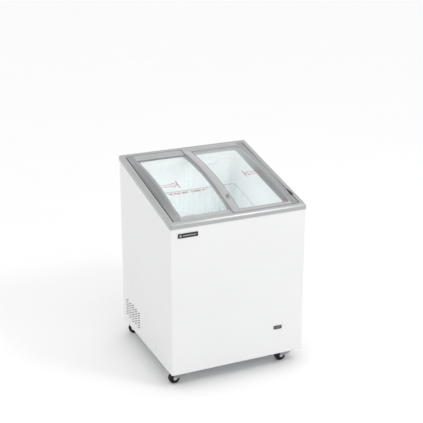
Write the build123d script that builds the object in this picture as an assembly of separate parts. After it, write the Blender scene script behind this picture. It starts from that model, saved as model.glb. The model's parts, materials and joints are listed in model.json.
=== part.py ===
from build123d import *
import os
from math import sin, cos, tan, atan2, radians, degrees, sqrt, pi

# Curved-lid chest freezer on castors, millimetres, +Z up.
# Origin: floor level, under the middle of the cabinet. Front faces -Y.
os.makedirs("parts", exist_ok=True)

# ---------------- driving dimensions ----------------
BODY_HX, BODY_HY = 320.0, 313.0        # half width and half depth of the painted cabinet
BODY_R = 6.0                           # bend radius of the vertical corners
SHEET = 1.2                            # panel sheet thickness
Z_BASE = 65.0                          # underside of the cabinet, top of the castor plates
RIM_HX, RIM_HY = 322.5, 315.5          # half size of the plastic top frame
RIM_Z_FRONT, RIM_Z_BACK = 766.3, 895.6 # top of the frame at its front and back edges
RIM_SKIRT = 20.6                       # height of the frame's skirt, square to the slope
RAIL = 22.7                            # width of the frame's flat rail

LINER_HX, LINER_Y0, LINER_Y1 = 243.0, -246.0, 250.0   # storage well
FLOOR_Z, STEP_Z, STEP_Y = 136.0, 300.0, 42.0          # floor, step top and step face
COLLAR_H = -176.0                      # lower edge of the smooth throat, below the slope

ARC_S0, ARC_S1, ARC_RISE = 40.0, 590.0, 27.0          # crown of the curved lids
UP_BAR = 3.0                           # top of the upper lid's end bars above the rail
LID_DROP = 12.0                        # lower lid lies this far below the upper lid
GLASS_T = 3.0
GLASS_SINK = 0.8                       # glass top below the frame's top skin

LOW_X0, LOW_X1 = -262.0, 10.0          # left (lower) lid
UPP_X0, UPP_X1 = -20.0, 262.0          # right (upper) lid
STILE_W = 32.0

VENT_Y0, VENT_Y1, VENT_Z0, VENT_Z1 = 82.0, 276.0, 96.0, 203.0
VENT_PITCH, VENT_SLOPE = 12.0, 0.514

CASTOR_X, CASTOR_Y = 263.0, 258.0      # swivel axes
WHEEL_R, WHEEL_W, TRAIL = 25.0, 20.0, 27.0
CASTORS = {"front_left": (-1, -1, 180.0), "front_right": (1, -1, 180.0),
           "rear_left": (-1, 1, 139.0), "rear_right": (1, 1, 158.0)}

# ---------------- helpers ----------------
MN = (Align.MIN, Align.MIN, Align.MIN)
CC = (Align.CENTER, Align.CENTER, Align.MIN)


def box(x0, x1, y0, y1, z0, z1):
    return Pos(x0, y0, z0) * Box(x1 - x0, y1 - y0, z1 - z0, align=MN)


def prism(x0, x1, y0, y1, r, z0, z1):
    sk = Pos((x0 + x1) / 2, (y0 + y1) / 2, z0) * RectangleRounded(x1 - x0, y1 - y0, r)
    return extrude(sk, amount=z1 - z0)


def cyl(r, p, axis, length):
    """Cylinder of radius r starting at p and running length along axis."""
    pl = Plane(origin=p, z_dir=axis)
    return pl.location * Cylinder(r, length, align=CC)


TILT = atan2(RIM_Z_BACK - RIM_Z_FRONT, 2 * RIM_HY)
SLOPE_L = 2 * RIM_HY / cos(TILT)
DECK = Plane(origin=(0, -RIM_HY, RIM_Z_FRONT), x_dir=(1, 0, 0), z_dir=(0, -sin(TILT), cos(TILT)))
TL = DECK.location                     # (x, s up the slope, h square to it) -> world


def tb(x0, x1, s0, s1, h0, h1):
    return TL * box(x0, x1, s0, s1, h0, h1)


def below(h):
    return tb(-400, 400, -200, 900, -1200, h)


def above(h):
    return tb(-400, 400, -200, 900, h, 300)


def solid_of(shape):
    s = shape.solids()
    return s[0] if len(s) == 1 else Compound(children=list(s))


PARTS = {}


def save(name, shape):
    solids = shape.solids() if hasattr(shape, "solids") else ShapeList(shape)
    out = solids[0] if len(solids) == 1 else Compound(children=list(solids))
    PARTS[name] = out
    export_step(out, f"parts/{name}.step")


# lid crown: circle in the (s, h) plane
SC = (ARC_S0 + ARC_S1) / 2
HALF = (ARC_S1 - ARC_S0) / 2
ARC_R = (HALF ** 2 + ARC_RISE ** 2) / (2 * ARC_RISE)
HC = UP_BAR + ARC_RISE - ARC_R


def crown(s, off=0.0):
    """Height of the arc lying off above (+) the upper lid's top skin, at slope position s."""
    return HC + sqrt((ARC_R + off) ** 2 - (s - SC) ** 2)


def arc_plate(x0, x1, s0, s1, off_lo, off_hi):
    """Curved plate between two concentric arcs, running along X."""
    def p(s, o):
        return (s, crown(s, o))
    e = [ThreePointArc(p(s0, off_hi), p((s0 + s1) / 2, off_hi), p(s1, off_hi)),
         Line(p(s1, off_hi), p(s1, off_lo)),
         ThreePointArc(p(s1, off_lo), p((s0 + s1) / 2, off_lo), p(s0, off_lo)),
         Line(p(s0, off_lo), p(s0, off_hi))]
    f = Plane.YZ * make_face(Wire(e).edges())
    return Pos(x0, 0, 0) * extrude(f, amount=x1 - x0)


def window(x0, x1, s0, s1, r, h0=-60, h1=80):
    return prism(x0, x1, s0, s1, r, h0, h1)


# ---------------- cabinet shell ----------------
outer = prism(-BODY_HX, BODY_HX, -BODY_HY, BODY_HY, BODY_R, Z_BASE, 960)
inner = prism(-BODY_HX + SHEET, BODY_HX - SHEET, -BODY_HY + SHEET, BODY_HY - SHEET, BODY_R - SHEET, Z_BASE - 1, 961)
wrapper = outer - inner
wrapper -= box(-298, 298, 300, 330, 0, 1000)          # back is a separate panel
wrapper -= above(-6.0)
# louvre slots of the left vent: inclined rows broken into short slots
ang = degrees(atan2(VENT_SLOPE, 1.0))
slots = []
SLOT_PITCH, SLOT_LEN, SLOT_H = 38.8, 33.0, 4.6
for k in range(-9, 9):
    for j in range(5):
        yc = 275.0 - SLOT_PITCH * (j + 0.5)
        zc = 118.0 + VENT_PITCH * k + VENT_SLOPE * (275.0 - yc)
        if zc - 8.5 < VENT_Z0 or zc + 8.5 > VENT_Z1:
            continue
        s = Rot(-ang, 0, 0) * Box(6, SLOT_LEN / cos(radians(ang)), SLOT_H)
        slots.append(Pos(-BODY_HX, yc, zc) * s)
for s in slots:
    wrapper -= s
# display cut-out in the front, drain hole in the left side
DISP_X0, DISP_X1, DISP_Z0, DISP_Z1 = 173.0, 213.0, 189.5, 206.0
wrapper -= box(DISP_X0 + 1.8, DISP_X1 - 1.8, -320, -305, DISP_Z0 + 1.8, DISP_Z1 - 1.8)
DRAIN_Y, DRAIN_Z = -110.0, 120.0
wrapper -= cyl(9.1, (-330, DRAIN_Y, DRAIN_Z), (1, 0, 0), 20)
SCREW_Z = [95.0, 250.0, 420.0, 600.0, 780.0]
for sx in (-1, 1):
    for z in SCREW_Z:
        wrapper -= cyl(2.1, (sx * 304, 300, z), (0, 1, 0), 20)
save("outer_wrapper", wrapper)

# back panel, inside the wrapper's return flanges
GR_X0, GR_X1, GR_Z0, GR_Z1 = -225.0, 225.0, 86.0, 242.0
GLAND_X, GLAND_Z = 262.0, 110.0
back = box(-310, 310, 310.6, 311.8, Z_BASE, 960) - above(-6.0)
back -= box(GR_X0, GR_X1, 300, 320, GR_Z0, GR_Z1)
back -= cyl(8.05, (GLAND_X, 300, GLAND_Z), (0, 1, 0), 20)
for sx in (-1, 1):
    for z in SCREW_Z:
        back -= cyl(2.1, (sx * 304, 300, z), (0, 1, 0), 20)
GSCREW = [(x, z) for x in (-232.0, 0.0, 232.0) for z in (79.0, 249.0)]
for x, z in GSCREW:
    back -= cyl(2.1, (x, 300, z), (0, 1, 0), 20)
save("back_panel", back)

# base tray with upturned edge
tray = prism(-318.6, 318.6, -311.6, 310.4, 7.6, Z_BASE, 76.0)
tray -= prism(-317.4, 317.4, -310.4, 309.2, 6.4, Z_BASE + 1.5, 80.0)
bolt_xy = []
for nm, (sx, sy, a) in CASTORS.items():
    for dx in (-23, 23):
        for dy in (-23, 23):
            bolt_xy.append((sx * CASTOR_X + dx, sy * CASTOR_Y + dy))
for x, y in bolt_xy:
    tray -= cyl(3.1, (x, y, 60), (0, 0, 1), 10)
save("base_tray", tray)

# ---------------- storage well ----------------
def ribbed(x0, x1, y0, y1, off, depth=3.0, pitch=24.0):
    """Rectangle whose walls carry outward flutes; off grows it evenly."""
    pts = []

    def side(a, b, n, fn):
        step = (b - a) / n
        w = step * 0.25
        out = [fn(a, 0)]
        for i in range(1, n):
            c = a + step * i
            sg = 1 if b > a else -1
            out += [fn(c - sg * abs(w), 0), fn(c - sg * abs(w) * 0.45, depth),
                    fn(c + sg * abs(w) * 0.45, depth), fn(c + sg * abs(w), 0)]
        return out
    nx = int(round((x1 - x0) / pitch))
    ny = int(round((y1 - y0) / pitch))

    def lim(v, lo, hi):
        return lo - off if v <= lo + 1e-6 else (hi + off if v >= hi - 1e-6 else v)
    pts += side(x0, x1, nx, lambda t, d: (lim(t, x0, x1), y0 - off - d))
    pts += side(y0, y1, ny, lambda t, d: (x1 + off + d, lim(t, y0, y1)))
    pts += side(x1, x0, nx, lambda t, d: (lim(t, x0, x1), y1 + off + d))
    pts += side(y1, y0, ny, lambda t, d: (x0 - off - d, lim(t, y0, y1)))
    return make_face(Polyline(*pts, close=True).edges())


LT = 1.0
p_out = Pos(0, 0, FLOOR_Z - LT) * extrude(ribbed(-LINER_HX, LINER_HX, LINER_Y0, LINER_Y1, LT), amount=700)
p_in = Pos(0, 0, FLOOR_Z - LT - 1) * extrude(ribbed(-LINER_HX, LINER_HX, LINER_Y0, LINER_Y1, 0), amount=702)
walls = (p_out - p_in) - above(COLLAR_H)
walls -= box(-300, 300, STEP_Y, 300, 0, STEP_Z - LT)
floor_low = p_out & box(-300, 300, -300, STEP_Y, FLOOR_Z - LT, FLOOR_Z)
floor_up = p_out & box(-300, 300, STEP_Y - LT, 300, STEP_Z - LT, STEP_Z)
riser = p_out & box(-300, 300, STEP_Y - LT, STEP_Y, FLOOR_Z - LT, STEP_Z)
liner = walls + floor_low + floor_up + riser
DRAIN_X = -215.0
liner -= cyl(8.0, (DRAIN_X, DRAIN_Y, 120), (0, 0, 1), 30)
save("inner_liner", liner)

# smooth throat above the fluted liner
COL_O = (-243.0, 243.0, -247.0, 251.0)
collar = prism(COL_O[0], COL_O[1], COL_O[2], COL_O[3], 12, 500, 960) - prism(-240, 240, -244, 248, 9, 490, 970)
collar = (collar - above(-13.2)) & tb(-400, 400, -200, 900, COLLAR_H, 300)
# pair of moulded ledges on the back of the throat that a hanging basket's rim sits on
lugs = []
for x in (-108, 108):
    b = box(x - 33, x + 33, 241.5, 248.5, 818, 828)
    b = chamfer(b.edges().filter_by(Axis.X).group_by(Axis.Y)[0], 3)
    lugs.append(b)
for b in lugs:
    collar += b
save("throat_collar", collar)

# ---------------- machine compartment ----------------
MC_Y, MC_Z = 58.0, 252.0
bulk = box(-316.0, 316.0, MC_Y - 1.2, MC_Y, 66.6, MC_Z) + box(-316.0, 316.0, MC_Y - 1.2, 308.8, MC_Z, MC_Z + 1.2)
save("compartment_bulkhead", bulk)

# evaporator: tube wound round the outside of the liner, buried in the foam
TUBE_R = 4.0
EV_X, EV_Y0, EV_Y1 = 254.0, -257.0, 261.0
pts = []
z = 330.0
for k in range(5):
    pts += [(-EV_X, EV_Y0, z), (EV_X, EV_Y0, z + 11), (EV_X, EV_Y1, z + 22), (-EV_X, EV_Y1, z + 33)]
    z += 50.0
pts = [(-EV_X, 40, 324.0)] + pts + [(-EV_X, 40, z - 8)]
path = FilletPolyline(*pts, radius=24)
start = path.edges()[0] if hasattr(path, "edges") else path
prof = Plane(origin=path @ 0, z_dir=path % 0) * Circle(TUBE_R)
evap = sweep(prof, path=path, transition=Transition.TRANSFORMED)
save("evaporator_coil", evap)

# drain: elbow from the floor of the well to the left side
tube_v = cyl(9.5, (DRAIN_X, DRAIN_Y, DRAIN_Z - 9.5), (0, 0, 1), FLOOR_Z - LT - DRAIN_Z + 9.5)
tube_h = cyl(9.5, (DRAIN_X, DRAIN_Y, DRAIN_Z), (-1, 0, 0), 102.0)
bore_v = cyl(7.5, (DRAIN_X, DRAIN_Y, DRAIN_Z - 7.5), (0, 0, 1), 40)
bore_h = cyl(7.5, (DRAIN_X, DRAIN_Y, DRAIN_Z), (-1, 0, 0), 110)
drain_tube = (tube_v + tube_h) - bore_v - bore_h
save("drain_tube", drain_tube)
sp = cyl(13.0, (-320.0, DRAIN_Y, DRAIN_Z), (-1, 0, 0), 1.2) + cyl(9.0, (-317.1, DRAIN_Y, DRAIN_Z), (-1, 0, 0), 4.0)
sp -= cyl(6.6, (-300, DRAIN_Y, DRAIN_Z), (-1, 0, 0), 40)
save("drain_flange", sp)
plug = cyl(6.5, (-317.2, DRAIN_Y, DRAIN_Z), (-1, 0, 0), 4.2) + cyl(9.5, (-321.3, DRAIN_Y, DRAIN_Z), (-1, 0, 0), 1.1)
save("drain_plug", plug)

# foam block
foam = prism(-316.8, 316.8, -309.8, 309.8, 6, 66.6, 960) - above(-17.2)
foam -= box(-330, 330, MC_Y - 1.4, 330, 0, MC_Z + 1.4)
foam -= box(-247.6, 247.6, -250.6, STEP_Y + 1.0, FLOOR_Z - LT, 1000)
foam -= box(-247.6, 247.6, -250.6, 254.6, STEP_Z - LT, 1000)
foam -= box(168, 218, -320, -280, 184, 211)
foam -= cyl(9.6, (DRAIN_X, DRAIN_Y, DRAIN_Z), (-1, 0, 0), 120) + cyl(9.6, (DRAIN_X, DRAIN_Y, DRAIN_Z - 9.6), (0, 0, 1), 60)
for x, y in bolt_xy:
    if y < 0:
        foam -= cyl(7.0, (x, y, 60), (0, 0, 1), 15)
foam -= evap
save("foam_insulation", foam)

# ---------------- top frame ----------------
rim = prism(-RIM_HX, RIM_HX, -RIM_HY, RIM_HY, 7, 690, 960)
rim = (rim & tb(-400, 400, -200, 900, -RIM_SKIRT, 0))
def on_deck(e):
    return all(abs((e @ q - DECK.origin).dot(DECK.z_dir)) < 0.05 for q in (0, 0.5, 1))


rim = chamfer(ShapeList([e for e in rim.edges() if on_deck(e)]), 4.5)
rim -= prism(-320.3, 320.3, -313.3, 313.3, 6, 600, 960) & tb(-400, 400, -200, 900, -60, -5.0)
IN_X, IN_S0, IN_S1 = 299.8, 26.5, 617.5
rim -= tb(-IN_X, IN_X, IN_S0, IN_S1, -40, 20)
rim -= tb(-IN_X, IN_X, 22.0, 622.0, -2.2, 20)
deck = TL * (box(-302.3, 302.3, 24.0, 620.0, -17.0, -12.6) - window(-243.4, 243.4, 66.0, 580.0, 12))
wall = TL * (box(-302.3, 302.3, 24.0, 620.0, -12.6, -4.9) - box(-IN_X, IN_X, IN_S0, IN_S1, -20, 20))
rim = rim + wall + deck
# shadow groove along the side and rear rails
for sx in (-1, 1):
    rim -= tb(min(sx * 310.4, sx * 311.8), max(sx * 310.4, sx * 311.8), 14.0, 631.8, -0.9, 5)
rim -= tb(-311.8, 311.8, 630.4, 631.8, -0.9, 5)
save("top_frame", rim)

# fixed side caps: crescents that close the gap beside the curved glass
CAP_IN, CAP_OUT = 263.3, 293.0


def crescent(sx, s_a, s_b, off, foot):
    secs = []
    n = 14
    for i in range(n + 1):
        s = s_a + (s_b - s_a) * i / n
        top = max(crown(s, off), foot + 0.6)
        pl = Plane(origin=(0, s, 0), x_dir=(1, 0, 0), z_dir=(0, -1, 0))
        d = top - foot
        p = [(CAP_IN, foot - 1.0), (CAP_OUT - 1.0, foot - 1.0), (CAP_OUT - 1.0, foot + 0.05), (288.0, foot + 0.05 + 0.04 * d),
             (287.0, foot + 0.36 * d), (279.5, foot + 0.40 * d), (278.5, foot + 0.68 * d), (271.5, foot + 0.72 * d),
             (270.5, top), (CAP_IN, top)]
        p = [(sx * x, h) for x, h in p]
        secs.append(pl * make_face(Polyline(*p, close=True).edges()))
    return loft(secs, ruled=True)


def s_at(h, off):
    """Slope position at the front where the arc reaches height h."""
    return SC - sqrt((ARC_R + off) ** 2 - (h - HC) ** 2)


s0 = s_at(-1.2, -LID_DROP)
capL = box(-CAP_OUT, -CAP_IN, 27.2, 616.8, -12.6, -2.0) + crescent(-1, s0, 2 * SC - s0, -LID_DROP, -2.0)
save("left_side_cap", TL * capL)
s1 = s_at(3.2, 0)
capR = box(CAP_IN, CAP_OUT, 27.2, 616.8, -12.6, 2.4) + box(CAP_IN, CAP_OUT, 22.8, 621.2, -2.0, 2.4) + crescent(1, s1, 2 * SC - s1, 0, 2.4)
save("right_side_cap", TL * capR)
buf = box(293.2, 299.6, 94, 107, -12.6, 4.0)
save("rubber_buffer", TL * chamfer(buf.edges().filter_by(Axis.X).group_by(Axis.Z)[-1], 2.0))

# ---------------- lids ----------------
def glass_and_seal(x0, x1, s0, s1, wx0, wx1, ws0, ws1, off, r, gap_s):
    """Glass sheet in its rebate and the thin seal ring lying on its edge."""
    top, bot = off - GLASS_SINK, off - GLASS_SINK - GLASS_T
    glass = arc_plate(x0, x1, s0, s1, bot, top)
    rebate = arc_plate(x0 - 0.05, x1 + 0.05, s0 - gap_s, s1 + gap_s, bot - 0.05, top + 0.05)
    seal = arc_plate(wx0 - 5, wx1 + 5, ws0 - 5, ws1 + 5, top + 0.02, off - 0.15)
    seal = seal & window(wx0 + 0.05, wx1 - 0.05, ws0 + 0.05, ws1 - 0.05, r - 0.05)
    seal -= window(wx0 + 2.5, wx1 - 2.5, ws0 + 2.5, ws1 - 2.5, r - 2.5)
    return glass, rebate, seal


LOW_OFF = -LID_DROP
# lower (left) lid
lw = (LOW_X0 + 5.0, LOW_X1 - 38.0, 57.0, 573.0)       # window
lg, lreb, lseal = glass_and_seal(LOW_X0 + 2.0, LOW_X1 - 35.5, 54.5, 575.5, *lw, LOW_OFF, 10.0, 0.05)
low = arc_plate(LOW_X0, LOW_X1, 45.0, 585.0, LOW_OFF - 8.0, LOW_OFF)
low &= box(-400, 400, 0, 700, -11.4, 60)
low += box(LOW_X0, LOW_X1, 27.5, 57.0, -11.4, -2.0) + box(LOW_X0, LOW_X1, 573.0, 616.5, -11.4, -2.0)
low -= window(*lw, 10.0)
low -= lreb
for s in (584.0, 594.0, 604.0):                       # ribs of the rear bar
    low -= box(LOW_X0 - 1, LOW_X1 + 1, s - 0.8, s + 0.8, -2.9, 5)
save("left_lid_frame", TL * low)
save("left_lid_glass", TL * lg)
save("left_lid_seal", TL * lseal)
pads = [box(x, x + 24, s, s + 16, -12.45, -11.4) for x in (-250, -26) for s in (34, 594)]
save("left_lid_glides", TL * Compound(children=pads))

# upper (right) lid
uw = (UPP_X0 + STILE_W, UPP_X1 - 5.0, 40.3, 589.7)
ug, ureb, useal = glass_and_seal(UPP_X0 + STILE_W - 2.5, UPP_X1 - 2.5, 40.55, 589.45, *uw, 0.0, 12.0, 0.05)
upp = arc_plate(UPP_X0, UPP_X1, 36.0, 594.0, -11.0, 0.0) & box(-400, 400, 0, 700, -1.2, 60)
upp += box(UPP_X0, UPP_X1, 22.8, 43.0, -1.2, UP_BAR) + box(UPP_X0, UPP_X1, 587.0, 621.2, -1.2, UP_BAR)
upp -= window(*uw, 12.0)
upp -= ureb
for s in (600.0, 610.0):                              # ribs of the rear bar
    upp -= box(UPP_X0 - 1, UPP_X1 + 1, s - 0.8, s + 0.8, UP_BAR - 0.9, 9)
# key lock through the upper lid's stile
LOCK_X, LOCK_S = -2.0, 128.0
rad = Vector(0, LOCK_S - SC, crown(LOCK_S) - HC).normalized()
LK = Plane(origin=(LOCK_X, LOCK_S, crown(LOCK_S)), x_dir=(1, 0, 0), z_dir=tuple(rad)).location
upp -= LK * (Pos(0, 0, -9.2) * Cylinder(5.45, 20, align=CC) + Pos(0, 0, -14) * Cylinder(9.0, 5.4, align=CC))
save("right_lid_frame", TL * upp)
save("right_lid_glass", TL * ug)
save("right_lid_seal", TL * useal)
pads = [box(x, x + 24, s, s + 3.0, -2.05, -1.2) for x in (-8, 226) for s in (23.1, 617.9)]
save("right_lid_glides", TL * Compound(children=pads))
esc = Pos(0, 0, 0.05) * (Cylinder(7.6, 1.2, align=CC) - Pos(0, 0, -1) * Cylinder(5.5, 4, align=CC))
save("lock_escutcheon", TL * (LK * esc))
barrel = Pos(0, 0, -8.9) * Cylinder(5.4, 10.3, align=CC) - Pos(-3, -0.7, -2.6) * Box(6, 1.4, 6, align=MN)
save("lock_barrel", TL * (LK * barrel))
cam = Pos(0, 0, -10.6) * Cylinder(5.2, 1.7, align=CC) + Pos(0, -2.5, -10.6) * Box(8.0, 5.0, 1.7, align=MN)
save("lock_cam", TL * (LK * cam))

# ---------------- front fittings ----------------
def fb(x0, x1, z0, z1, r, y0, y1):
    sk = Pos((x0 + x1) / 2, y1, (z0 + z1) / 2) * (Rot(90, 0, 0) * RectangleRounded(x1 - x0, z1 - z0, r))
    return extrude(sk, amount=(y1 - y0), dir=(0, -1, 0))


bez = fb(DISP_X0, DISP_X1, DISP_Z0, DISP_Z1, 2.0, -315.2, -313.0)
bez += fb(DISP_X0 + 2, DISP_X1 - 2, DISP_Z0 + 2, DISP_Z1 - 2, 1.0, -313.0, -309.0)
bez -= fb(DISP_X0 + 3.6, DISP_X1 - 3.6, DISP_Z0 + 3.2, DISP_Z1 - 3.2, 1.0, -320, -300)
save("display_lens", fb(DISP_X0 + 3.7, DISP_X1 - 3.7, DISP_Z0 + 3.3, DISP_Z1 - 3.3, 0.9, -314.6, -311.2))
module = fb(DISP_X0 + 2, DISP_X1 - 2, DISP_Z0 + 2, DISP_Z1 - 2, 1.0, -309.2, -307.0) + fb(DISP_X0 + 1, DISP_X1 - 1, DISP_Z0 + 0.5, DISP_Z1 - 0.5, 1.5, -307.0, -283.0)
save("thermometer_body", bez + module)
badge = fb(-286.5, -195.0, 702.0, 722.0, 2.5, -315.0, -313.0)
save("badge_plate", badge)

# ---------------- machinery ----------------
CP = (70.0, 180.0)
shell = Pos(CP[0], CP[1], 88.0) * Cylinder(64, 128, align=CC)
shell = fillet(shell.edges().filter_by(GeomType.CIRCLE), 26)
foot = box(CP[0] - 96, CP[0] + 96, CP[1] - 52, CP[1] + 52, 84.0, 86.8)
foot += Pos(CP[0], CP[1], 86.8) * Cylinder(40, 1.2, align=CC)
feet_xy = [(CP[0] + dx, CP[1] + dy) for dx in (-84, 84) for dy in (-40, 40)]
for x, y in feet_xy:
    foot -= cyl(5.0, (x, y, 70), (0, 0, 1), 30)
save("compressor", shell + foot)
gr, bolts = [], []
for x, y in feet_xy:
    g = cyl(10.0, (x, y, 66.6), (0, 0, 1), 17.3) + cyl(4.9, (x, y, 83.9), (0, 0, 1), 3.2)
    g -= cyl(3.1, (x, y, 60), (0, 0, 1), 40)
    gr.append(solid_of(g))
    b = cyl(3.0, (x, y, 66.6), (0, 0, 1), 22.0) + cyl(7.0, (x, y, 87.2), (0, 0, 1), 4.0)
    bolts.append(solid_of(b))
save("compressor_grommets", Compound(children=gr))
save("compressor_bolts", Compound(children=bolts))
relay = box(CP[0] - 28, CP[0] + 28, CP[1] + 64.5, CP[1] + 92, 110, 172)
save("relay_box", chamfer(relay.edges().group_by(Axis.Y)[-1], 4))

fins = None
for k in range(13):
    f = box(-298, -250, 94 + 13.5 * k, 95.2 + 13.5 * k, 84, 232)
    fins = f if fins is None else fins + f
for z in (100, 130, 160, 190, 218):
    for x in (-286, -262):
        fins += cyl(4.0, (x, 84, z), (0, 1, 0), 184)
save("condenser", fins)
FAN = (-234.0, 180.0, 157.0)
shroud = box(-240, -237.6, 84, 276, 80, 238) - cyl(74, (-250, FAN[1], FAN[2]), (1, 0, 0), 30)
shroud += cyl(77, (-240, FAN[1], FAN[2]), (1, 0, 0), 18) - cyl(74, (-250, FAN[1], FAN[2]), (1, 0, 0), 40)
hub = cyl(16, (-237, FAN[1], FAN[2]), (1, 0, 0), 13)
for k in range(5):
    bl = Pos(0, 0, 42) * (Rot(0, 0, 28) * Box(1.8, 34, 56))
    hub += Pos(-230, FAN[1], FAN[2]) * (Rot(72 * k, 0, 0) * bl)
hub &= cyl(72, (-260, FAN[1], FAN[2]), (1, 0, 0), 60)
hub -= cyl(3.06, (-231, FAN[1], FAN[2]), (1, 0, 0), 30)
save("fan_blade", hub)
motor = cyl(30, (-205, FAN[1], FAN[2]), (1, 0, 0), 42) + cyl(3.0, (-229, FAN[1], FAN[2]), (1, 0, 0), 25)
save("fan_motor", motor)
arms = box(-239.0, -170.0, FAN[1] - 8, FAN[1] + 8, 80.5, 84.5) + box(-176.0, -170.0, FAN[1] - 8, FAN[1] + 8, 80.5, FAN[2] - 30.1)
save("fan_shroud", shroud + arms)
save("filter_drier", fillet(cyl(10, (200, 262, 100), (0, 0, 1), 100).edges().filter_by(GeomType.CIRCLE), 6))


def pipe(pts, r, rad):
    pa = FilletPolyline(*pts, radius=rad)
    return sweep(Plane(origin=pa @ 0, z_dir=pa % 0) * Circle(r), path=pa, transition=Transition.TRANSFORMED)


l1 = pipe([(CP[0] - 64.5, CP[1], 130), (-60, CP[1], 130), (-60, 70, 130), (-270, 70, 130)], 3.0, 14.0)
l2 = pipe([(200, 262, 200.2), (200, 262, 232), (200, 150, 232)], 2.0, 12.0)
save("refrigerant_lines", Compound(children=[solid_of(l1), solid_of(l2)]))

# rear service grille with recessed thermostat knob
KX, KZ = 150.0, 212.0
gril = box(-240, 240, 311.8, 313.0, 72, 256)
for x in (-232.0, 0.0, 232.0):
    for z in (79.0, 249.0):
        gril -= cyl(2.1, (x, 300, z), (0, 1, 0), 20)
for r in range(8):
    for c in range(6):
        xa = -214 + 62 * c
        if c >= 5 and r >= 4:
            continue
        gril -= box(xa, xa + 50, 300, 320, 96 + 18 * r, 101 + 18 * r)
cup_o = box(KX - 30, KX + 30, 296.5, 313.0, KZ - 26, KZ + 26)
cup_i = box(KX - 28.5, KX + 28.5, 298.0, 320.0, KZ - 24.5, KZ + 24.5)
gril = (gril - box(KX - 30, KX + 30, 300, 320, KZ - 26, KZ + 26)) + (cup_o - cup_i)
gril -= cyl(3.2, (KX, 290, KZ), (0, 1, 0), 20)
save("rear_grille", gril)
tstat = box(KX - 24, KX + 24, 262, 296.4, KZ - 16, KZ + 16)
tstat -= cyl(3.06, (KX, 280, KZ), (0, 1, 0), 30)
save("thermostat", tstat)
knob = cyl(16, (KX, 299.0, KZ), (0, 1, 0), 12.5)
knob = chamfer(knob.edges().filter_by(GeomType.CIRCLE).group_by(Axis.Y)[-1], 1.5)
knob += cyl(3.0, (KX, 285.0, KZ), (0, 1, 0), 15)
knob -= box(KX - 1, KX + 1, 310.6, 312, KZ + 4, KZ + 17)
save("thermostat_knob", knob)
gland = cyl(11.5, (GLAND_X, 311.9, GLAND_Z), (0, 1, 0), 2.9) + cyl(8.0, (GLAND_X, 297.0, GLAND_Z), (0, 1, 0), 15)
gland -= cyl(4.5, (GLAND_X, 290, GLAND_Z), (0, 1, 0), 40)
save("cord_gland", gland)

# screws: pan heads with short shanks
sc = []
for sx in (-1, 1):
    for z in SCREW_Z:
        h = cyl(3.8, (sx * 304, 313.0, z), (0, 1, 0), 1.9)
        h = chamfer(h.edges().filter_by(GeomType.CIRCLE).group_by(Axis.Y)[-1], 0.7)
        sc.append(solid_of(h + cyl(2.0, (sx * 304, 310.0, z), (0, 1, 0), 3.5)))
for x, z in GSCREW:
    h = cyl(3.8, (x, 313.0, z), (0, 1, 0), 1.9)
    h = chamfer(h.edges().filter_by(GeomType.CIRCLE).group_by(Axis.Y)[-1], 0.7)
    sc.append(solid_of(h + cyl(2.0, (x, 310.0, z), (0, 1, 0), 3.5)))
save("panel_screws", Compound(children=sc))

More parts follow.
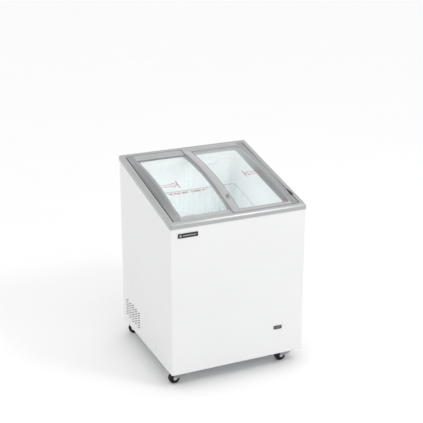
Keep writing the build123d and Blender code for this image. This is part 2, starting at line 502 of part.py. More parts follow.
# ---------------- castors ----------------
plates, bolts = [], []
for nm, (sx, sy, a) in CASTORS.items():
    L = Pos(sx * CASTOR_X, sy * CASTOR_Y, 0)
    p = prism(-31, 31, -31, 31, 5, 62.5, 65.0) + cyl(17, (0, 0, 57.6), (0, 0, 1), 4.9)
    for dx in (-23, 23):
        for dy in (-23, 23):
            p -= cyl(3.1, (dx, dy, 60), (0, 0, 1), 8)
            b = cyl(3.0, (dx, dy, 62.0), (0, 0, 1), 10.0) + Pos(dx, dy, 58.7) * extrude(RegularPolygon(5.8, 6), 3.8) \
                + Pos(dx, dy, 66.5) * extrude(RegularPolygon(5.8, 6), 4.0)
            bolts.append(L * solid_of(b))
    # king pin, staked into the plate for good
    k = cyl(4.0, (0, 0, 51.0), (0, 0, 1), 13.9) + cyl(7.0, (0, 0, 50.6), (0, 0, 1), 3.0)
    plates.append(L * solid_of(p + k))
    R = L * Rot(0, 0, a)
    # fork
    braked = nm.startswith("front")
    legp = [(-17, 57.2), (17, 57.2), (34.5, 31), (35.5, 23), (31, 17), (23, 17), (14, 22), (4, 27), (-8, 31), (-17, 32.5), (-21, 36), (-21, 46)]
    leg = make_face(Polyline(*legp, close=True).edges())
    fork = Pos(0, 0, 54.0) * Cylinder(20, 3.2, align=CC) + box(-17, 17, -13.4, 13.4, 54.0, 57.2)
    for y0 in (-13.4, 11.4):
        fk_leg = extrude(Plane(origin=(0, y0, 0), x_dir=(1, 0, 0), z_dir=(0, -1, 0)) * leg, amount=-2.0)
        fork += fk_leg
    fork -= cyl(4.05, (0, 0, 40), (0, 0, 1), 30)
    fork -= cyl(4.03, (TRAIL, -30, WHEEL_R), (0, 1, 0), 60)
    if braked:
        fork -= cyl(2.07, (-12, -30, 49.5), (0, 1, 0), 60)
    save("castor_fork_" + nm, R * solid_of(fork))
    # wheel: tread with rounded shoulders, recessed faces, bore
    w = cyl(WHEEL_R, (TRAIL, -WHEEL_W / 2, WHEEL_R), (0, 1, 0), WHEEL_W)
    w = fillet(w.edges().filter_by(GeomType.CIRCLE), 2.5)
    for y0 in (-WHEEL_W / 2 - 1, WHEEL_W / 2 - 2.5):
        w -= cyl(18.0, (TRAIL, y0, WHEEL_R), (0, 1, 0), 3.5) - cyl(8.0, (TRAIL, y0 - 1, WHEEL_R), (0, 1, 0), 6)
    w -= cyl(4.06, (TRAIL, -30, WHEEL_R), (0, 1, 0), 60)
    save("castor_wheel_" + nm, R * solid_of(w))
    ax = cyl(4.0, (TRAIL, -15.0, WHEEL_R), (0, 1, 0), 31.0)
    hx = Plane(origin=(TRAIL, -17.4, WHEEL_R), x_dir=(1, 0, 0), z_dir=(0, 1, 0)).location
    ax += hx * extrude(RegularPolygon(6.6, 6), 4.0)
    hx = Plane(origin=(TRAIL, 13.4, WHEEL_R), x_dir=(1, 0, 0), z_dir=(0, 1, 0)).location
    ax += hx * extrude(RegularPolygon(6.6, 6), 4.0)
    save("castor_axle_" + nm, R * solid_of(ax))
    if braked:
        pd = cyl(4.2, (-12, -11.1, 49.5), (0, 1, 0), 22.2) + cyl(2.0, (-12, -13.3, 49.5), (0, 1, 0), 26.6)
        tr = Pos(-12, 0, 49.5) * (Rot(0, -24, 0) * box(-24, 0, -11.1, 11.1, -2.4, 0.6))
        lip = Pos(-12, 0, 49.5) * (Rot(0, -24, 0) * box(-26.5, -23.5, -11.1, 11.1, -5.2, 0.6))
        shoe = box(-9.5, -6, -8, 8, 37, 47) + box(-9.5, -1.5, -8, 8, 35.5, 38.5)
        pd = pd + tr + lip + shoe
        save("castor_brake_" + nm, R * solid_of(pd))
save("castor_plates", Compound(children=plates))
save("castor_bolts", Compound(children=bolts))

print("tilt", round(degrees(TILT), 3), "slope length", round(SLOPE_L, 2), "arc R", round(ARC_R, 2), "nodes", len(PARTS))
lk = TL * LK
print("lock at", lk.position, "axis", Plane(lk).z_dir)
for nm, (sx, sy, a) in CASTORS.items():
    for lab, pt in (("wheel", (TRAIL, 0, WHEEL_R)), ("brake", (-12, 0, 49.5))):
        q = Pos(sx * CASTOR_X, sy * CASTOR_Y, 0) * Rot(0, 0, a) * Pos(*pt)
        print(nm, lab, q.position, "axis", Plane(q).y_dir)
bb = Compound(children=[p for p in PARTS.values()]).bounding_box()
print("box", bb.min, bb.max)
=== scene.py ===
import json
import math

import bmesh
import bpy
from mathutils import Matrix, Vector


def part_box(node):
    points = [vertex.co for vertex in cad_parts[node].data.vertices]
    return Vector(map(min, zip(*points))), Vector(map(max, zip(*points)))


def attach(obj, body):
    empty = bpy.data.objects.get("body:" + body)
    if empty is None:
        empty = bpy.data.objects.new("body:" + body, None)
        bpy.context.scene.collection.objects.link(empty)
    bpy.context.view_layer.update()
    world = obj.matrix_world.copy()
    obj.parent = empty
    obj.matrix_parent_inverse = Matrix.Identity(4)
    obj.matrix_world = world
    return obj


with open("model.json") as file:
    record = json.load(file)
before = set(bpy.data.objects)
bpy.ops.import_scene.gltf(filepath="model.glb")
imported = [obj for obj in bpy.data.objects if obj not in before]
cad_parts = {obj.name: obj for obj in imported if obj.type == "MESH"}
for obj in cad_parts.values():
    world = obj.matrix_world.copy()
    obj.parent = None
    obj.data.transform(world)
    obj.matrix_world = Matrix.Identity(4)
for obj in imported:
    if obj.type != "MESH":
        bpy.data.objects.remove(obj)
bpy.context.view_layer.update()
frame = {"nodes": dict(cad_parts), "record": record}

NODES = frame["nodes"]
MM = 0.001

# ------------------------------------------------------------------ deck frame
TILT = math.radians(11.58)
CA, SA = math.cos(TILT), math.sin(TILT)
ARC_C, ARC_R, ARC_S = -1383.96, 1413.96, 315.0


def deck(x, s, h):
    """Point on the sloping top, from millimetres across, up the slope and above it, in metres."""
    return Vector((x * MM, (-315.5 + s * CA - h * SA) * MM, (766.3 + s * SA + h * CA) * MM))


def crown(s, off=0.0):
    return ARC_C + math.sqrt((ARC_R + off) ** 2 - (s - ARC_S) ** 2)


# ------------------------------------------------------------------ materials
def nd(nt, kind, loc=(0, 0), **values):
    n = nt.nodes.new(kind)
    n.location = loc
    for k, v in values.items():
        if hasattr(n, k):
            setattr(n, k, v)
    return n


def start(name):
    m = bpy.data.materials.new(name)
    m.use_nodes = True
    nt = m.node_tree
    nt.nodes.clear()
    out = nd(nt, "ShaderNodeOutputMaterial", (900, 0))
    p = nd(nt, "ShaderNodeBsdfPrincipled", (600, 0))
    nt.links.new(p.outputs["BSDF"], out.inputs["Surface"])
    tc = nd(nt, "ShaderNodeTexCoord", (-900, 0))
    return m, nt, p, tc


def mapped(nt, tc, scale=(1, 1, 1), rot=(0, 0, 0)):
    mp = nd(nt, "ShaderNodeMapping", (-700, 0))
    mp.inputs["Scale"].default_value = scale
    mp.inputs["Rotation"].default_value = rot
    nt.links.new(tc.outputs["Object"], mp.inputs["Vector"])
    return mp.outputs["Vector"]


def noise(nt, vec, scale, detail=4.0, rough=0.55):
    n = nd(nt, "ShaderNodeTexNoise", (-450, 0))
    n.inputs["Scale"].default_value = scale
    n.inputs["Detail"].default_value = detail
    n.inputs["Roughness"].default_value = rough
    nt.links.new(vec, n.inputs["Vector"])
    return n.outputs["Fac"]


def ramp(nt, fac, stops):
    r = nd(nt, "ShaderNodeValToRGB", (-200, 200))
    e = r.color_ramp.elements
    while len(e) < len(stops):
        e.new(0.5)
    for i, (pos, col) in enumerate(stops):
        e[i].position = pos
        e[i].color = (*col, 1.0)
    nt.links.new(fac, r.inputs["Fac"])
    return r.outputs["Color"]


def ranged(nt, fac, lo, hi, f0=0.3, f1=0.7):
    r = nd(nt, "ShaderNodeMapRange", (-200, -100))
    r.inputs["From Min"].default_value = f0
    r.inputs["From Max"].default_value = f1
    r.inputs["To Min"].default_value = lo
    r.inputs["To Max"].default_value = hi
    nt.links.new(fac, r.inputs["Value"])
    return r.outputs["Result"]


def bump(nt, height, dist, strength=1.0, chain=None):
    b = nd(nt, "ShaderNodeBump", (300, -300))
    b.inputs["Distance"].default_value = dist
    b.inputs["Strength"].default_value = strength
    nt.links.new(height, b.inputs["Height"])
    if chain is not None:
        nt.links.new(chain, b.inputs["Normal"])
    return b.outputs["Normal"]


def surf(name, a, b, r0, r1, metal=0.0, tone=22.0, grain=900.0, height=0.00003, stretch=(1, 1, 1), rot=(0, 0, 0),
         spec=0.5, coat=0.0, coat_rough=0.12, ior=1.5, wave=None):
    """Coated, moulded or cast surface: slow tone drift, fine grain in gloss and relief."""
    m, nt, p, tc = start(name)
    v = mapped(nt, tc, stretch, rot)
    slow = noise(nt, v, tone, 5.0, 0.6)
    fine = noise(nt, v, grain, 3.0, 0.5)
    nt.links.new(ramp(nt, slow, [(0.3, a), (0.7, b)]), p.inputs["Base Color"])
    nt.links.new(ranged(nt, fine, r0, r1), p.inputs["Roughness"])
    n = bump(nt, fine, height, 0.6)
    if wave:
        n = bump(nt, slow, wave, 0.5, n)
    nt.links.new(n, p.inputs["Normal"])
    p.inputs["Metallic"].default_value = metal
    p.inputs["Specular IOR Level"].default_value = spec
    p.inputs["IOR"].default_value = ior
    if coat:
        p.inputs["Coat Weight"].default_value = coat
        p.inputs["Coat Roughness"].default_value = coat_rough
    return m


def spangled(name, a, b, r0, r1, scale=150.0, metal=0.85, height=0.00002):
    """Hot-dip zinc: crystal cells that differ a little in tone and gloss."""
    m, nt, p, tc = start(name)
    v = mapped(nt, tc)
    vo = nd(nt, "ShaderNodeTexVoronoi", (-450, 200))
    vo.inputs["Scale"].default_value = scale
    nt.links.new(v, vo.inputs["Vector"])
    sep = nd(nt, "ShaderNodeSeparateColor", (-250, 200))
    nt.links.new(vo.outputs["Color"], sep.inputs["Color"])
    fine = noise(nt, v, 700.0, 4.0)
    nt.links.new(ramp(nt, sep.outputs["Red"], [(0.0, a), (1.0, b)]), p.inputs["Base Color"])
    nt.links.new(ranged(nt, sep.outputs["Green"], r0, r1, 0.0, 1.0), p.inputs["Roughness"])
    nt.links.new(bump(nt, fine, height, 0.5), p.inputs["Normal"])
    p.inputs["Metallic"].default_value = metal
    return m


def glassy(name, tint, a0, a1, rough=0.04):
    """Toughened pane: clear, a pale veil, more reflective towards grazing, faint wipe marks in the gloss."""
    m, nt, p, tc = start(name)
    v = mapped(nt, tc, (1.0, 0.6, 1.0), (0, 0, 0.5))
    slow = noise(nt, v, 9.0, 4.0, 0.6)
    nt.links.new(ramp(nt, slow, [(0.3, tint), (0.7, tuple(min(1.0, c * 1.03) for c in tint))]), p.inputs["Base Color"])
    nt.links.new(ranged(nt, slow, rough * 0.6, rough * 1.8), p.inputs["Roughness"])
    lw = nd(nt, "ShaderNodeLayerWeight", (-200, -300))
    lw.inputs["Blend"].default_value = 0.5
    nt.links.new(ranged(nt, lw.outputs["Facing"], a0, a1, 0.5, 1.0), p.inputs["Alpha"])
    nt.links.new(bump(nt, slow, 0.00004, 0.3), p.inputs["Normal"])
    p.inputs["IOR"].default_value = 1.5
    m.surface_render_method = "BLENDED"
    return m


M = {}
M["white_steel"] = surf("white_powder_coat", (0.765, 0.768, 0.770), (0.785, 0.788, 0.790), 0.30, 0.40, tone=3.0, grain=620.0,
                        height=0.00004, coat=0.12, coat_rough=0.22)
M["galvanised"] = spangled("galvanised_sheet", (0.55, 0.565, 0.58), (0.63, 0.645, 0.66), 0.40, 0.52, scale=210.0)
M["liner_white"] = surf("liner_coat", (0.805, 0.845, 0.849), (0.845, 0.88, 0.884), 0.28, 0.42, tone=5.0, grain=520.0,
                        height=0.00005, wave=0.0004)
M["throat"] = surf("throat_plastic", (0.83, 0.862, 0.866), (0.865, 0.895, 0.898), 0.30, 0.42, tone=7.0, grain=700.0,
                   height=0.00003)
M["frame_grey"] = surf("frame_grey_plastic", (0.355, 0.358, 0.364), (0.395, 0.398, 0.404), 0.36, 0.50, tone=9.0, grain=1100.0,
                       height=0.00003, stretch=(0.5, 1, 1), coat=0.9, coat_rough=0.20)
M["lid_grey"] = surf("lid_grey_plastic", (0.395, 0.398, 0.404), (0.44, 0.443, 0.449), 0.30, 0.42, tone=9.0, grain=1100.0,
                     height=0.00003, stretch=(1, 0.5, 1), coat=0.40, coat_rough=0.22)
M["cap_grey"] = surf("side_cap_plastic", (0.27, 0.272, 0.278), (0.315, 0.317, 0.323), 0.38, 0.52, tone=11.0, grain=1100.0,
                     height=0.00004, stretch=(1, 0.3, 1))
M["lid_glass"] = glassy("lid_glass_pane", (0.84, 0.90, 0.90), 0.075, 0.5)
M["seal_grey"] = surf("seal_rubber", (0.20, 0.205, 0.21), (0.26, 0.265, 0.27), 0.55, 0.72, tone=40.0, grain=1400.0, height=0.00003)
M["nylon"] = surf("glide_nylon", (0.70, 0.69, 0.65), (0.76, 0.75, 0.71), 0.40, 0.52, tone=60.0, grain=1500.0)
M["black_rubber"] = surf("moulded_rubber", (0.016, 0.016, 0.017), (0.030, 0.030, 0.032), 0.55, 0.75, tone=60.0, grain=1600.0,
                         height=0.00004)
# darker copy of the zinc plating for the castor forks: painted shade for their place under the cabinet
M["fork_zinc_painted_shade"] = surf("fork_zinc_painted_shade", (0.27, 0.275, 0.28), (0.36, 0.365, 0.37), 0.24, 0.40, metal=0.9, tone=70.0, grain=900.0,
                      height=0.00002)
M["zinc"] = surf("zinc_plate", (0.50, 0.51, 0.52), (0.66, 0.67, 0.68), 0.22, 0.40, metal=0.9, tone=55.0, grain=900.0,
                 height=0.00002)
M["wheel_black"] = surf("wheel_tread", (0.006, 0.006, 0.0065), (0.016, 0.016, 0.017), 0.45, 0.62, tone=45.0, grain=1300.0,
                        height=0.00005, spec=0.3)
M["lock_steel"] = surf("lock_nickel", (0.34, 0.34, 0.34), (0.43, 0.43, 0.425), 0.16, 0.30, metal=1.0, tone=120.0, grain=1800.0,
                       height=0.00001)
M["foam"] = surf("polyurethane_foam", (0.80, 0.72, 0.46), (0.90, 0.83, 0.60), 0.75, 0.92, tone=35.0, grain=420.0,
                 height=0.0004)
M["copper"] = surf("copper_tube", (0.62, 0.28, 0.16), (0.80, 0.42, 0.27), 0.22, 0.42, metal=1.0, tone=28.0, grain=800.0)
M["machine_black"] = surf("black_enamel", (0.012, 0.012, 0.013), (0.030, 0.030, 0.032), 0.28, 0.46, tone=18.0, grain=520.0,
                          height=0.00006, coat=0.2)
M["black_plastic"] = surf("black_abs", (0.018, 0.018, 0.019), (0.036, 0.036, 0.038), 0.38, 0.55, tone=40.0, grain=1500.0,
                          height=0.00004)
M["display_window"] = surf("smoked_window", (0.070, 0.071, 0.073), (0.088, 0.089, 0.092), 0.08, 0.16, tone=80.0, grain=900.0,
                           height=0.000005, coat=0.6, coat_rough=0.05)
M["white_plastic"] = surf("white_moulding", (0.80, 0.80, 0.79), (0.86, 0.86, 0.85), 0.30, 0.45, tone=30.0, grain=1300.0,
                          height=0.00003)
M["bezel"] = surf("bezel_charcoal", (0.052, 0.052, 0.054), (0.075, 0.075, 0.078), 0.40, 0.55, tone=60.0, grain=1500.0,
                  height=0.00004)
M["badge"] = surf("badge_black", (0.010, 0.010, 0.011), (0.020, 0.020, 0.021), 0.22, 0.34, tone=60.0, grain=1400.0,
                  height=0.00002, coat=0.1)
M["badge_white"] = surf("badge_silver_print", (0.50, 0.51, 0.52), (0.58, 0.59, 0.60), 0.30, 0.42, tone=200.0, grain=2500.0,
                        height=0.00001)
M["decal_red"] = surf("decal_red_ink", (0.33, 0.012, 0.008), (0.42, 0.022, 0.014), 0.40, 0.55, tone=180.0, grain=2500.0,
                      height=0.00001)
M["segments"] = surf("segment_grey", (0.15, 0.155, 0.16), (0.19, 0.195, 0.20), 0.25, 0.35, tone=200.0, grain=2000.0,
                     height=0.00001)
# mid grey for the strip that paints the shadow line under the throat collar's lower edge
M["painted_shadow_line_grey"] = surf("throat_painted_shadow_line", (0.44, 0.47, 0.475), (0.50, 0.53, 0.535), 0.42, 0.56, tone=30.0, grain=1200.0)
M["hub"] = surf("wheel_hub_grey", (0.10, 0.10, 0.105), (0.15, 0.15, 0.155), 0.40, 0.55, tone=60.0, grain=1300.0)

SPECIAL = {"top_frame": "frame_grey", "left_side_cap": "cap_grey", "right_side_cap": "cap_grey",
           "left_lid_frame": "lid_grey", "right_lid_frame": "lid_grey", "throat_collar": "throat",
           "thermometer_body": "bezel", "badge_plate": "badge"}
# castor forks take the darker zinc copy, which paints the shade under the cabinet
for corner in ("front_left", "front_right", "rear_left", "rear_right"):
    SPECIAL["castor_fork_" + corner] = "fork_zinc_painted_shade"
SLOT_OF = {}
for part in frame["record"].get("subparts", frame["record"].get("geometry", {}).get("subparts", [])):
    SLOT_OF[part["node"]] = part["material_slot"]
for name, o in NODES.items():
    m = M[SPECIAL.get(name, SLOT_OF.get(name, "black_plastic"))]
    o.data.materials.clear()
    o.data.materials.append(m)

# ------------------------------------------------------------------ softened edges on the CAD shells
BEVEL = {"top_frame": 0.35, "left_side_cap": 0.5, "right_side_cap": 0.5, "left_lid_frame": 0.5, "right_lid_frame": 0.6,
         "badge_plate": 0.35, "thermometer_body": 0.4, "throat_collar": 0.8, "rubber_buffer": 0.4,
         "castor_plates": 0.3, "rear_grille": 0.25, "cord_gland": 0.3, "lock_escutcheon": 0.2, "thermostat_knob": 0.4}
for side in ("front_left", "front_right", "rear_left", "rear_right"):
    BEVEL["castor_fork_" + side] = 0.35
    BEVEL["castor_wheel_" + side] = 0.5
    BEVEL["castor_brake_" + side] = 0.3
for name, width in BEVEL.items():
    o = NODES.get(name)
    if o is None:
        continue
    w = o.modifiers.new("weld", "WELD")
    w.merge_threshold = 0.00002
    b = o.modifiers.new("soft_edges", "BEVEL")
    b.width = width * MM
    b.segments = 2
    b.limit_method = "ANGLE"
    b.angle_limit = math.radians(38)
    b.harden_normals = True
    b.use_clamp_overlap = True


# ------------------------------------------------------------------ mesh helpers
def piece(name, bm, mat, body, smooth=True, bevel=0.0, seg=2):
    bmesh.ops.recalc_face_normals(bm, faces=bm.faces)
    me = bpy.data.meshes.new(name)
    bm.to_mesh(me)
    bm.free()
    o = bpy.data.objects.new(name, me)
    bpy.context.scene.collection.objects.link(o)
    me.materials.append(M[mat])
    if smooth:
        for f in me.polygons:
            f.use_smooth = True
        me.set_sharp_from_angle(angle=math.radians(35))
    if bevel:
        b = o.modifiers.new("edge", "BEVEL")
        b.width = bevel * MM
        b.segments = seg
        b.limit_method = "ANGLE"
        b.angle_limit = math.radians(35)
        b.harden_normals = True
    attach(o, body)
    return o


def hexa(bm, pts):
    """Closed box from 8 points: four below, then the four above them."""
    v = [bm.verts.new(p) for p in pts]
    for q in ((0, 3, 2, 1), (4, 5, 6, 7), (0, 1, 5, 4), (1, 2, 6, 5), (2, 3, 7, 6), (3, 0, 4, 7)):
        bm.faces.new([v[i] for i in q])


def stroke(bm, a, b, width, off, thick=0.10, step=6.0):
    """Printed line on a curved pane, from deck point a to b, in millimetres."""
    ax, as_ = a
    bx, bs = b
    ln = math.hypot(bx - ax, bs - as_)
    ux, us = (bx - ax) / ln, (bs - as_) / ln
    px, ps = -us * width / 2, ux * width / 2
    n = max(1, int(math.ceil(ln / step)))
    rows = []
    for i in range(n + 1):
        t = i / n
        cx, cs = ax + (bx - ax) * t, as_ + (bs - as_) * t
        row = []
        for sg in (1, -1):
            x, s = cx + sg * px, cs + sg * ps
            for h in (0.02, 0.02 + thick):
                row.append(bm.verts.new(deck(x, s, crown(s, off) + h)))
        rows.append(row)
    for r0, r1 in zip(rows, rows[1:]):
        for i, j in ((0, 1), (1, 3), (3, 2), (2, 0)):
            bm.faces.new((r0[i], r0[j], r1[j], r1[i]))
    bm.faces.new((rows[0][0], rows[0][2], rows[0][3], rows[0][1]))
    bm.faces.new((rows[-1][0], rows[-1][1], rows[-1][3], rows[-1][2]))


def ring(bm, c, axis, profile, seg=32):
    """Closed body of revolution about axis through c; profile is a closed list of (radius, height)."""
    z = Vector(axis).normalized()
    x = z.orthogonal().normalized()
    y = z.cross(x)
    loops = []
    for k in range(seg):
        a = 2 * math.pi * k / seg
        d = x * math.cos(a) + y * math.sin(a)
        loops.append([bm.verts.new(Vector(c) + d * (r * MM) + z * (h * MM)) for r, h in profile])
    n = len(profile)
    for k in range(seg):
        l0, l1 = loops[k], loops[(k + 1) % seg]
        for i in range(n):
            j = (i + 1) % n
            bm.faces.new((l0[i], l0[j], l1[j], l1[i]))


def disc(bm, c, axis, profile, seg=32):
    """Solid of revolution whose profile starts and ends on the axis."""
    z = Vector(axis).normalized()
    x = z.orthogonal().normalized()
    y = z.cross(x)
    top = bm.verts.new(Vector(c) + z * (profile[0][1] * MM))
    bot = bm.verts.new(Vector(c) + z * (profile[-1][1] * MM))
    loops = []
    for k in range(seg):
        a = 2 * math.pi * k / seg
        d = x * math.cos(a) + y * math.sin(a)
        loops.append([bm.verts.new(Vector(c) + d * (r * MM) + z * (h * MM)) for r, h in profile[1:-1]])
    for k in range(seg):
        l0, l1 = loops[k], loops[(k + 1) % seg]
        bm.faces.new((top, l0[0], l1[0]))
        bm.faces.new((bot, l1[-1], l0[-1]))
        for i in range(len(l0) - 1):
            bm.faces.new((l0[i], l0[i + 1], l1[i + 1], l1[i]))


# ------------------------------------------------------------------ printed slide arrows on the panes
LOW, UPP = -12.8, -0.8


def arrow(name, x_tail, x_bar, s, off, body, bar_lo, bar_hi):
    d = 1 if x_bar > x_tail else -1
    bm = bmesh.new()
    tip, neck = x_bar - 5 * d, x_bar - 20 * d
    w, hw, lw = 8.0, 15.5, 2.5
    pts = [(x_tail, s + w), (neck, s + w), (neck, s + hw), (tip, s), (neck, s - hw), (neck, s - w), (x_tail, s - w)]
    for a, b in zip(pts, pts[1:]):
        stroke(bm, a, b, lw, off)
    stroke(bm, (x_bar, bar_lo), (x_bar, bar_hi), 3.2, off)
    return piece(name, bm, "decal_red", body, smooth=False)


arrow("slide_arrow_left", -253.0, -172.0, 287.0, LOW, "left_lid", 258.0, 316.0)
arrow("slide_arrow_right", 248.0, 148.0, 280.0, UPP, "right_lid", 254.0, 306.0)
bm = bmesh.new()
for x0, x1 in ((-240, -224), (-218, -206), (-202, -190), (-182, -152), (-136, -128), (-122, -92), (-84, -68)):
    stroke(bm, (x0, 219.0), (x1, 219.0), 4.4, LOW)
for x0, x1 in ((-240, -190), (-182, -152), (-136, -92)):
    stroke(bm, (x0, 212.0), (x1, 212.0), 1.8, LOW)
piece("pane_dashes_left", bm, "decal_red", "left_lid", smooth=False)

# ------------------------------------------------------------------ badge: blank plate with a plain line and snowflake
BADGE_LO, BADGE_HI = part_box("badge_plate")
by = BADGE_LO.y - 0.00005
bm = bmesh.new()
cz = (BADGE_LO.z + BADGE_HI.z) / 2


def bar2(bm, x0, z0, x1, z1, w, y0, y1):
    d = Vector((x1 - x0, 0, z1 - z0))
    n = Vector((-d.z, 0, d.x)).normalized() * (w / 2)
    q = [Vector((x0, 0, z0)) + n, Vector((x1, 0, z1)) + n, Vector((x1, 0, z1)) - n, Vector((x0, 0, z0)) - n]
    hexa(bm, [(p.x, y1, p.z) for p in q] + [(p.x, y0, p.z) for p in q])


sx, sz = BADGE_LO.x + 0.0115, cz
for k in range(3):
    a = math.radians(90 + 60 * k)
    r = 0.0056
    bar2(bm, sx - math.cos(a) * r, sz - math.sin(a) * r, sx + math.cos(a) * r, sz + math.sin(a) * r, 0.0013, by - 0.00012, by + 0.0002)
for k in range(6):
    a = math.radians(90 + 60 * k)
    ex, ez = sx + math.cos(a) * 0.0036, sz + math.sin(a) * 0.0036
    for t in (-40, 40):
        c = a + math.radians(t)
        bar2(bm, ex, ez, ex + math.cos(c) * 0.0022, ez + math.sin(c) * 0.0022, 0.0009, by - 0.00010, by + 0.0002)
bar2(bm, BADGE_LO.x + 0.0220, cz, BADGE_HI.x - 0.0085, cz, 0.0022, by - 0.00012, by + 0.0002)
piece("badge_snowflake", bm, "badge_white", "cabinet", smooth=False)

# ------------------------------------------------------------------ thermometer: unlit seven-segment cells under the window
LENS_LO, LENS_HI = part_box("display_lens")
ly = LENS_LO.y - 0.00003
bm = bmesh.new()
mx, mz = (LENS_LO.x + LENS_HI.x) / 2, (LENS_LO.z + LENS_HI.z) / 2
ch, cw, th = min(0.0066, (LENS_HI.z - LENS_LO.z) * 0.62), 0.0040, 0.0009
for i in (-1, 0, 1):
    x0 = mx + i * 0.0068 - cw / 2
    for z in (mz - ch / 2, mz, mz + ch / 2):
        bar2(bm, x0 + 0.0005, z, x0 + cw - 0.0005, z, th, ly - 0.00006, ly + 0.0002)
    for x in (x0, x0 + cw):
        for z0, z1 in ((mz - ch / 2, mz), (mz, mz + ch / 2)):
            bar2(bm, x, z0 + 0.0006, x, z1 - 0.0006, th, ly - 0.00006, ly + 0.0002)
piece("display_segments", bm, "segments", "cabinet", smooth=False)

# ------------------------------------------------------------------ side vent: pressed louvre fins behind the slots
VENT_SLOPE, VENT_PITCH = 0.514, 12.0
VENT_Z0, VENT_Z1 = 96.0, 203.0
ang = math.atan(VENT_SLOPE)
bm = bmesh.new()
for k in range(-9, 9):
    for j in range(5):
        yc = 275.0 - 38.8 * (j + 0.5)
        zc = 118.0 + VENT_PITCH * k + VENT_SLOPE * (275.0 - yc)
        if zc - 8.5 < VENT_Z0 or zc + 8.5 > VENT_Z1:
            continue
        half = 17.6 / math.cos(ang)
        rows = []
        for e in (-1, 1):
            yy = yc + e * half * math.cos(ang)
            zz = zc - e * half * math.sin(ang)
            prof = [(-318.75, 3.2), (-318.1, 2.6), (-316.9, 0.6), (-315.7, -1.8), (-314.6, -3.8), (-314.0, -4.2),
                    (-314.6, -4.9), (-315.4, -4.4), (-316.6, -2.4), (-317.8, 0.2), (-318.75, 1.6)]
            rows.append([bm.verts.new(Vector((px * MM, yy * MM, (zz + pz - 3.4) * MM))) for px, pz in prof])
        n = len(rows[0])
        for i in range(n):
            q = (i + 1) % n
            bm.faces.new((rows[0][i], rows[0][q], rows[1][q], rows[1][i]))
        bm.faces.new(rows[0][::-1])
        bm.faces.new(rows[1])
piece("vent_louvre_fins", bm, "white_steel", "cabinet", smooth=True)

# ------------------------------------------------------------------ front bar screw on the upper lid
bm = bmesh.new()
disc(bm, deck(6.5, 31.5, 3.0), (deck(0, 0, 1) - deck(0, 0, 0)), [(0, 0.55), (0.9, 0.5), (2.3, 0.35), (3.0, 0.05), (3.0, -0.8), (0, -0.8)], 24)
piece("lid_bar_screw", bm, "zinc", "right_lid", smooth=True)

# ------------------------------------------------------------------ black rubber stop on the buffer in the right-hand gap, made large enough to paint the deep shadow in that gap
bm = bmesh.new()
rows = []
for t, k in ((0.0, 0.0), (0.09, 1.0), (0.91, 1.0), (1.0, 0.0)):
    prof = [(90.0, 2.0), (91.0, 6.2 + k), (96.0, 7.6 + k), (108.0, 7.2 + k), (126.0, 4.8 + k), (148.0, 2.7), (149.0, 2.0)]
    row = []
    for q, h in prof:
        left = 288.0 + (q - 90.0) * 0.11
        row.append(bm.verts.new(deck(left + (299.4 - left) * t, q, h)))
    rows.append(row)
for r0, r1 in zip(rows, rows[1:]):
    for i in range(7):
        j = (i + 1) % 7
        bm.faces.new((r0[i], r0[j], r1[j], r1[i]))
bm.faces.new(rows[0][::-1])
bm.faces.new(rows[-1])
piece("buffer_stop_and_gap_shade", bm, "black_rubber", "cabinet", smooth=True)

# ------------------------------------------------------------------ throat: moulded beads round the two bays, and the rib between them
WALL_Y = 0.248


def bead(bm, x0, x1, z0, z1, r, w, rise, n=6):
    """Closed raised bead round a rounded rectangle on the throat's back wall, in millimetres."""
    path = []
    for cx, cz, a0 in ((x1 - r, z1 - r, 0), (x0 + r, z1 - r, 90), (x0 + r, z0 + r, 180), (x1 - r, z0 + r, 270)):
        for i in range(n + 1):
            a = math.radians(a0 + 90 * i / n)
            path.append((cx + r * math.cos(a), cz + r * math.sin(a), math.cos(a), math.sin(a)))
    prof = [(-w / 2, 0.5), (-w / 2, -0.1), (-w * 0.34, -rise * 0.7), (-w * 0.12, -rise), (w * 0.12, -rise), (w * 0.34, -rise * 0.7),
            (w / 2, -0.1), (w / 2, 0.5)]
    loops = [[bm.verts.new(Vector(((x + nx * d) * MM, WALL_Y + y * MM, (z + nz * d) * MM))) for d, y in prof] for x, z, nx, nz in path]
    for k in range(len(loops)):
        l0, l1 = loops[k], loops[(k + 1) % len(loops)]
        for i in range(len(prof)):
            j = (i + 1) % len(prof)
            bm.faces.new((l0[i], l0[j], l1[j], l1[i]))


bm = bmesh.new()
bead(bm, -206.0, -18.0, 716.0, 839.0, 10.0, 5.0, 2.0)
bead(bm, 42.0, 214.0, 716.0, 842.0, 10.0, 5.0, 2.0)
piece("throat_bay_beads", bm, "throat", "cabinet", smooth=True)
bm = bmesh.new()
rib = [(-5.0, 0.5), (-5.0, -0.2), (-1.5, -4.0), (2.0, -5.0), (22.0, -5.0), (25.5, -4.0), (29.0, -0.2), (29.0, 0.5)]
rows = []
for z, k in ((712.0, 0.0), (717.0, 0.75), (722.0, 1.0), (836.0, 1.0), (841.0, 0.75), (846.0, 0.0)):
    rows.append([bm.verts.new(Vector((x * MM, WALL_Y + (y if y > 0 else y * k - 0.05) * MM, z * MM))) for x, y in rib])
for r0, r1 in zip(rows, rows[1:]):
    for i in range(len(rib)):
        j = (i + 1) % len(rib)
        bm.faces.new((r0[i], r0[j], r1[j], r1[i]))
bm.faces.new(rows[0][::-1])
bm.faces.new(rows[-1])
piece("throat_centre_rib", bm, "throat", "cabinet", smooth=True)

# grey strip round the lower edge of the throat, over the fluted liner: a painted shadow line for the shade in the gap
# where the collar's lower edge meets the liner
SHADOW_LINE_H = -176.0


def slope_s(y):
    return (y + 315.5 + SHADOW_LINE_H * SA) / CA


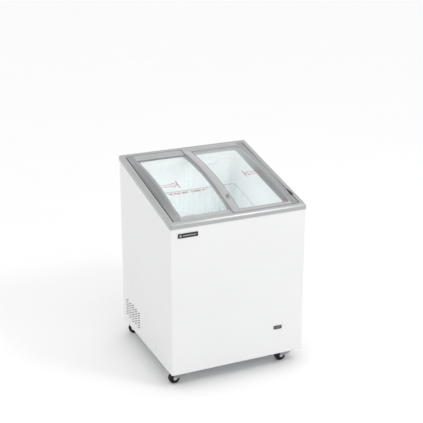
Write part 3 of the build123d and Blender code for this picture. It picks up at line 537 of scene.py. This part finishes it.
s0, s1, tr = slope_s(-244.0), slope_s(248.0), 9.0
path = []
for cx, cs, a0 in ((240.0 - tr, s1 - tr, 0), (-240.0 + tr, s1 - tr, 90), (-240.0 + tr, s0 + tr, 180), (240.0 - tr, s0 + tr, 270)):
    for i in range(7):
        a = math.radians(a0 + 15 * i)
        path.append((cx + tr * math.cos(a), cs + tr * math.sin(a), math.cos(a), math.sin(a)))
bm = bmesh.new()
loops = [[bm.verts.new(deck(x + nx * d, q + ns * d, SHADOW_LINE_H + h)) for d, h in
          ((1.2, -0.5), (0.4, -1.7), (-0.5, -1.7), (-0.9, -1.2), (-0.9, 0.9), (-0.6, 1.4), (0.1, 1.5), (0.6, 0.5))] for x, q, nx, ns in path]
for k in range(len(loops)):
    l0, l1 = loops[k], loops[(k + 1) % len(loops)]
    for i in range(8):
        j = (i + 1) % 8
        bm.faces.new((l0[i], l0[j], l1[j], l1[i]))
piece("throat_painted_shadow_strip", bm, "painted_shadow_line_grey", "cabinet", smooth=True)

# ------------------------------------------------------------------ stage
def plane(name, size, z, mat):
    bm = bmesh.new()
    bmesh.ops.create_grid(bm, x_segments=8, y_segments=8, size=size)
    me = bpy.data.meshes.new(name)
    bm.to_mesh(me)
    bm.free()
    o = bpy.data.objects.new(name, me)
    o.location = (0, 0, z)
    bpy.context.scene.collection.objects.link(o)
    me.materials.append(mat)
    return o


floor_mat = surf("studio_floor", (0.965, 0.965, 0.965), (0.975, 0.975, 0.975), 0.70, 0.80, tone=1.5, grain=90.0, height=0.00001, spec=0.15)
floor = plane("studio_floor", 14.0, -0.0004, floor_mat)

sc = bpy.context.scene
sc.view_settings.view_transform = "Standard"
sc.view_settings.look = "None"
world = bpy.data.worlds.new("studio")
sc.world = world
world.use_nodes = True
wn = world.node_tree
wn.nodes.clear()
wo = nd(wn, "ShaderNodeOutputWorld", (600, 0))
wb = nd(wn, "ShaderNodeBackground", (400, 0))
wt = nd(wn, "ShaderNodeTexCoord", (-600, 0))
ws = nd(wn, "ShaderNodeSeparateXYZ", (-400, 0))
wn.links.new(wt.outputs["Generated"], ws.inputs["Vector"])
wr = nd(wn, "ShaderNodeValToRGB", (-200, 0))
wn.links.new(ws.outputs["Z"], wr.inputs["Fac"])
el = wr.color_ramp.elements
el[0].position, el[0].color = 0.0, (0.98, 0.98, 0.98, 1)
el[1].position, el[1].color = 0.9, (1.0, 1.0, 1.0, 1)
wn.links.new(wr.outputs["Color"], wb.inputs["Color"])
wb.inputs["Strength"].default_value = 1.0
wn.links.new(wb.outputs["Background"], wo.inputs["Surface"])


def area(name, loc, target, size, power, col=(1, 1, 1), hidden=False):
    l = bpy.data.lights.new(name, "AREA")
    l.shape = "SQUARE"
    l.size = size
    l.energy = power
    l.color = col
    o = bpy.data.objects.new(name, l)
    o.location = loc
    o.rotation_mode = "QUATERNION"
    o.rotation_quaternion = (Vector(target) - Vector(loc)).to_track_quat("-Z", "Y")
    bpy.context.scene.collection.objects.link(o)
    if hidden:
        o.visible_camera = False
        o.visible_glossy = False
    return o


area("key_light", (1.35, -1.95, 3.2), (0, -0.2, 0.75), 0.6, 20)
area("front_fill", (1.2, -4.2, 1.3), (0, 0, 0.4), 2.6, 4.5)
area("well_fill", (-0.17, -0.17, 0.68), (0.2, 0.20, 0.50), 0.22, 0.85, (0.97, 1.0, 1.0), hidden=True)

# ------------------------------------------------------------------ camera
cam = bpy.data.cameras.new("camera")
co = bpy.data.objects.new("camera", cam)
bpy.context.scene.collection.objects.link(co)
co.location = (-1.7943, -4.0321, 2.2921)
yaw, pitch = math.radians(24.073), math.radians(18.944)
fwd = Vector((math.sin(yaw) * math.cos(pitch), math.cos(yaw) * math.cos(pitch), -math.sin(pitch)))
co.rotation_mode = "QUATERNION"
co.rotation_quaternion = fwd.to_track_quat("-Z", "Y")
cam.lens = 88.07
cam.sensor_width = 36.0
cam.shift_y = -0.05
sc.camera = co
